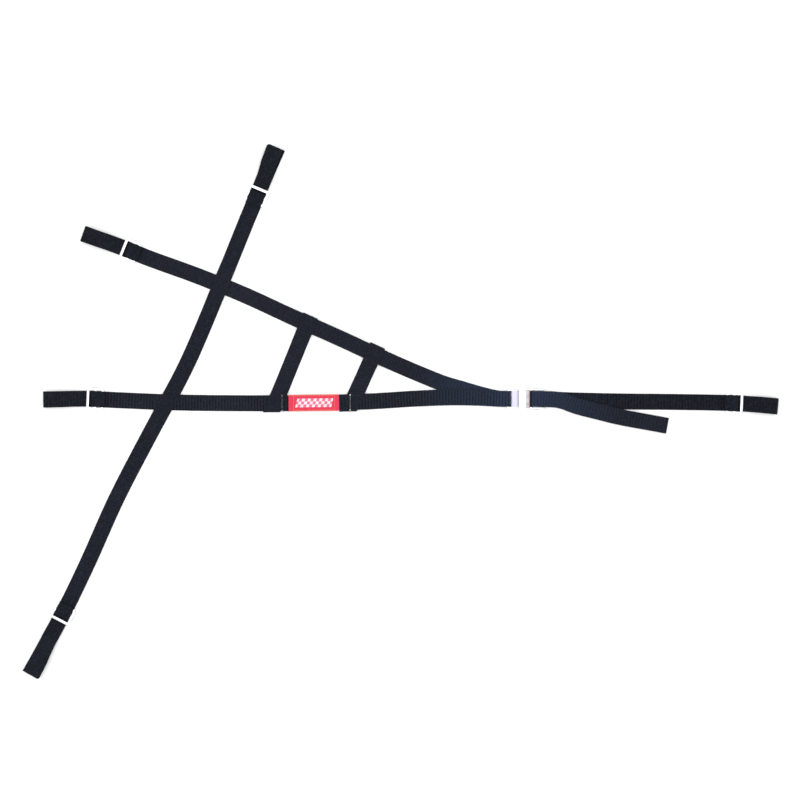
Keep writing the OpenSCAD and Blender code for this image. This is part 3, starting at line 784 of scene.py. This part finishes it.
def labelRows():
    rows = stations(lowerTrack, [[labelFrom, labelMiddle], [labelTo, labelMiddle]], labelSize["width"])
    length = len(rows) - 1
    eased = []
    for i, (middle, half) in enumerate(rows):
        u = i / length * labelSize["length"]
        fromEnd = min(u, labelSize["length"] - u)
        narrowed = 1 - labelSize["round"] * max(0, 1 - fromEnd / labelSize["roundReach"]) ** 2
        lift = labelSize["ripple"] * math.sin(u / labelSize["length"] * 2.6 * math.pi) ** 2
        sway = labelSize["sway"] * math.sin(u / labelSize["length"] * math.pi * 1.3)
        eased.append((middle + np.array([0, sway, lift]), half * narrowed))   # a label never lies quite true
    return eased


strips = StripMesh(labelSize["thick"], labelSize["width"])
length = strips.add(labelRows(), 0.0)
piece = place(strips.build("sewn_label"), "sewn_label")
piece.data.materials.append(labelFinish())
piece.data.shade_smooth()
piece.data.set_sharp_from_angle(angle=math.radians(60))
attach(piece, "net")
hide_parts("label_patch")
print("label sewn on")

# ---- stitching ----

sewing = {"stitch": 2.3, "gap": 0.45, "thread": 0.55, "over": 0.06,
          "labelStitch": 1.5, "labelThread": 0.75, "labelOver": 0.25,
          "labelFrom": 8, "labelTo": 7, "labelSide": 11.4}


def turned(point, centre, angle):
    c, s = math.cos(math.radians(angle)), math.sin(math.radians(angle))
    return (centre[0] + point[0] * c - point[1] * s, centre[1] + point[0] * s + point[1] * c)


def boxSeam(centre, angle, length, width, z, crossed=True):
    x, y = length / 2, width / 2
    lines = [((-x, -y), (x, -y)), ((x, -y), (x, y)), ((x, y), (-x, y)), ((-x, y), (-x, -y))]
    if crossed:
        lines += [((-x, -y), (x, y)), ((-x, y), (x, -y))]
    return [[(*turned(p, centre, angle), z) for p in line] for line in lines]


def seamPiece(name, node, lines, body="net", finish=blackThread,
              thread=sewing["thread"], stitch=sewing["stitch"]):
    points, edges = [], []
    for line in lines:
        base = len(points)
        points += [tuple(v * mm for v in p) for p in line]
        edges += [(base + k, base + k + 1) for k in range(len(line) - 1)]
    mesh = bpy.data.meshes.new(name)
    mesh.from_pydata(points, edges, [])
    piece = place(mesh, name)
    runTree(piece, stitches, stitchInputs, {"Stitch": stitch * mm, "Gap": sewing["gap"] * mm,
                                            "Thread": thread * mm, "Finish": finish})
    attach(piece, body)
    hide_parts(node)


onTwo, onThree = z2 + z1 + sewing["over"], z3 + z1 + sewing["over"]
seamPiece("lower_crossing_seam", "lower_crossing_stitching", boxSeam((-368, 15.5), 0, 20, 20, onTwo))
seamPiece("upper_crossing_seam", "upper_crossing_stitching", boxSeam((-283, 201), -23, 20, 20, onTwo))
ladderSeams = []
for start, end, lowTurn, highTurn in ladders.values():
    ladderSeams += boxSeam(start, lowTurn, 18, 18, onThree) + boxSeam(end, highTurn, 18, 18, onThree)
seamPiece("ladder_seams", "ladder_stitching", ladderSeams)
seamPiece("tongue_seam", "tongue_stitching", boxSeam((139, 21.0), -1, 22, 19, onTwo))

hemS = total(tailTrack) - tail["hem"] / 2
hemSeam = boxSeam(spot(tailTrack, hemS), math.degrees(heading(tailTrack, hemS)), tail["hem"] - 8, 19,
                  tail["hemZ"] + z1 + sewing["over"], crossed=False)
seamPiece("tail_seam", "tail_stitching", hemSeam, "tail")

labelZ = labelMiddle + labelSize["thick"] / 2 + sewing["labelOver"]
labelSeams = []
for s in (labelFrom + sewing["labelFrom"], labelTo - sewing["labelTo"]):
    x, y = spot(lowerTrack, s)
    labelSeams.append([(x, y - sewing["labelSide"], labelZ), (x, y + sewing["labelSide"], labelZ)])
labelSeams += [[first, second] for first, second in zip(*labelSeams)]
seamPiece("label_seams", "label_stitching", labelSeams, "net", orangeThread,
          sewing["labelThread"], sewing["labelStitch"])
print("seams stitched")


# ---- thread ties across the lower strap ----

tie = {"knot": 0.36, "knotSize": 0.27, "knotOver": 0.95, "tail": 0.2,
       "stepWidth": 1, "step": 1.2, "wander": 0.12}


def tubeAround(bm, path, radius, sides=8, closed=False, across=(0.31, 0.22, 0.93)):
    path = np.array(path, float)
    rings = []
    for i, p in enumerate(path):
        before = path[i - 1] if closed or i else path[0]
        after = path[(i + 1) % len(path)] if closed or i < len(path) - 1 else path[-1]
        d = (after - before) / np.linalg.norm(after - before)
        a = np.cross(d, across)
        a /= np.linalg.norm(a)
        b = np.cross(d, a)
        rings.append([bm.verts.new((p + radius * (math.cos(t) * a + math.sin(t) * b)) * mm)
                      for t in np.arange(sides) / sides * math.tau])
    for i in range(len(rings) if closed else len(rings) - 1):
        one, two = rings[i], rings[(i + 1) % len(rings)]
        for k in range(sides):
            bm.faces.new((one[k], one[(k + 1) % sides], two[(k + 1) % sides], two[k]))
    if not closed:
        bm.faces.new(rings[0][::-1])
        bm.faces.new(rings[-1])


def knotPath(centre, size, lean):
    path = []
    for t in np.arange(36) / 36 * math.tau:
        p = (math.sin(t) + 2 * math.sin(2 * t), math.cos(t) - 2 * math.cos(2 * t), -1.1 * math.sin(3 * t))
        x = p[0] * math.cos(lean) - p[1] * math.sin(lean)
        y = p[0] * math.sin(lean) + p[1] * math.cos(lean)
        path.append(np.array(centre) + size * np.array([x, y, p[2]]))
    return path


def threadTie(bm, x, low, high, stepY, lowZ, highZ, lean, thread, knot):
    r = thread / 2
    run = [(x, high, highZ + r)]
    if stepY > low:                 # down from the short strap's edge to the lower strap
        run += [(x, stepY, highZ + r), (x, stepY - 0.7 * tie["stepWidth"], (highZ + lowZ) / 2 + r),
                (x, stepY - tie["stepWidth"], lowZ + r)]
    run += [(x, low, lowZ + r)]
    dense = [np.array(run[0])]
    for p, q in zip(run, run[1:]):
        p, q = np.array(p), np.array(q)
        n = max(1, round(np.linalg.norm(q - p) / tie["step"]))
        dense += [p + (q - p) * (k + 1) / n for k in range(n)]
    wander = [p + np.array([tie["wander"] * math.sin(i * 0.9 + lean), 0, 0]) for i, p in enumerate(dense)]
    tubeAround(bm, wander, r)
    for y, z, way in ((high, highZ, 1), (low, lowZ, -1)):
        centre = (x, y, z + tie["knotOver"])
        tubeAround(bm, knotPath(centre, tie["knotSize"] * knot, lean + way), tie["knot"] * knot, closed=True)
        loose = [np.array(centre) + knot * np.array([0.5 * k, 0.25 * way * k ** 1.2, -0.15 * k])
                 for k in range(3)]
        tubeAround(bm, loose, tie["tail"] * knot)


bm = bmesh.new()
threadTie(bm, -187, 0.6, 24.6, 2.6, z2 + z1, z3 + z1, 0.4, 0.16, 0.6)
threadTie(bm, -79, 1.6, 25.6, 1.6, z3 + z1 + 0.3, z3 + z1 + 0.3, 1.7, 0.24, 1.1)
bmesh.ops.recalc_face_normals(bm, faces=bm.faces)
mesh = bpy.data.meshes.new("knotted_ties")
bm.to_mesh(mesh)
mesh.shade_smooth()
mesh.materials.append(paleThread)
piece = place(mesh, "knotted_ties")
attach(piece, "net")
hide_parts("thread_ties")
print("ties knotted")

# ---- metal ----

strapSides = [("Y", 6.2, 1, 0.4), ("Y", 32.4, -1, 0.4)]       # the latch's width that its straps cover
# a zone is a list of sides, each an axis, where it begins, its way and its softness, and then a tone; the
# tongue's first zone is its lavender tint, the other zones are painted shade and reflection
tintAndShadeZones = {"tongue": [([("X", 178, 1, 0.4)] + strapSides, shade(179, 177, 196)),
                    # the lid's shadow painted on the tongue just under the lid's front edge
                    ([("X", 185.8, 1, 2)] + strapSides, shade(154, 152, 166))],
         # painted shade, with the dark webbing's reflection, on the frame's floor in the narrow gap between the
         # lid's barrel and the strap's fold
         "frame": [([("Z", 1.9, -1, 0.4), ("X", 209, -1, 0.4)] + strapSides, shade(40, 36, 38))],
         # painted shade bands on the lid's curled-down barrel, the second with a warm painted reflection
         "lid": [([("X", 198.8, 1, 1.6)], shade(164, 164, 167)),
                 ([("X", 203.4, 1, 1.4)], shade(166, 152, 155))]}
metals = {
    "slide": metalFinish("platedSlide", shade(232, 233, 237), 0.2, wear=0.12),
    "tongue": metalFinish("platedTongue", shade(236, 236, 242), 0.26, (1, 9, 1), 0.06, tintAndShadeZones["tongue"]),
    "frame": metalFinish("platedFrame", shade(247, 248, 250), 0.26, (1, 9, 1), 0.06, tintAndShadeZones["frame"]),
    "lid": metalFinish("brushedLid", shade(246, 246, 246), 0.22, (9, 1, 1), 0.04, tintAndShadeZones["lid"]),
    "pin": metalFinish("turnedPin", shade(196, 192, 192), 0.3, (9, 1, 9), 0.2),
    "bar": metalFinish("plainBar", shade(170, 172, 178), 0.35, (9, 1, 9), 0.3),
    "spring": metalFinish("springWire", shade(150, 152, 158), 0.3, wear=0.2),
}


def smoothedCopy(node, name, finish, bevel, segments):     # the part as it leaves the tumbler, with soft edges
    bm = bmesh.new()
    bm.from_mesh(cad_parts[node].data)
    bmesh.ops.remove_doubles(bm, verts=bm.verts, dist=1e-6)
    bmesh.ops.dissolve_limit(bm, angle_limit=math.radians(1.5), verts=bm.verts, edges=bm.edges)
    mesh = bpy.data.meshes.new(name)
    bm.to_mesh(mesh)
    mesh.materials.clear()
    mesh.materials.append(finish)
    piece = place(mesh, name)
    softEdge = piece.modifiers.new("softEdge", "BEVEL")
    softEdge.width = bevel * mm
    softEdge.segments = segments
    softEdge.limit_method = "ANGLE"
    softEdge.angle_limit = math.radians(35)
    softEdge.harden_normals = False
    settle(piece)
    piece.data.shade_smooth()
    piece.data.set_sharp_from_angle(angle=math.radians(40))
    return piece


def metalPiece(node, name, finish, bevel, body, segments=3):
    piece = smoothedCopy(node, name, finish, bevel, segments)
    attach(piece, body)
    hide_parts(node)


for name in ends:
    metalPiece(f"{name}_slide", f"{name}_slide_plate", metals["slide"], slide["bevel"], ends[name][3],
               segments=4)
metalPiece("tongue_plate", "tongue_stamping", metals["tongue"], 0.35, "net")
metalPiece("buckle_frame", "frame_stamping", metals["frame"], 0.25, "buckle")
metalPiece("buckle_lid", "lid_stamping", metals["lid"], 0.3, "lid")
metalPiece("hinge_pin", "riveted_pin", metals["pin"], 0.25, "buckle")
metalPiece("slide_bar", "floating_bar", metals["bar"], 0.25, "slide_bar")

spring = {"pin": (204, 19.3, 5.6), "coil": 1.85, "wire": 0.3, "halfLength": 4.4, "turns": 7,
          "startAngle": 115, "steps": 180, "sides": 10}


def springPath():                   # a leg under the lid, the coil round the pin, and a leg down to the floor
    half, turned = spring["halfLength"], spring["startAngle"] + 90 + 360 * spring["turns"]
    angles = np.linspace(0, turned, spring["steps"])
    turns = np.radians(spring["startAngle"] - angles)
    coil = np.stack([spring["coil"] * np.cos(turns), 2 * half * angles / turned - half,
                     spring["coil"] * np.sin(turns)], 1)
    lidLeg = [(-6.5, -half, 1.1), (-3.4, -half, 1), (-1.9, -half, 1.25)]
    floorLeg = [(-0.9, half, -2), (-1.45, half, -2.9), (-1.5, half, -4.3)]
    return np.vstack([lidLeg, coil, floorLeg]) + spring["pin"]


bm = bmesh.new()
tubeAround(bm, springPath(), spring["wire"], spring["sides"], across=(0.3, 1, 0.2))
bmesh.ops.recalc_face_normals(bm, faces=bm.faces)
mesh = bpy.data.meshes.new("torsion_spring")
bm.to_mesh(mesh)
mesh.shade_smooth()
mesh.materials.append(metals["spring"])
piece = place(mesh, "torsion_spring")
x, y, z = spring["pin"]
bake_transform(piece)
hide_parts("lid_spring")
print("metal parts finished")
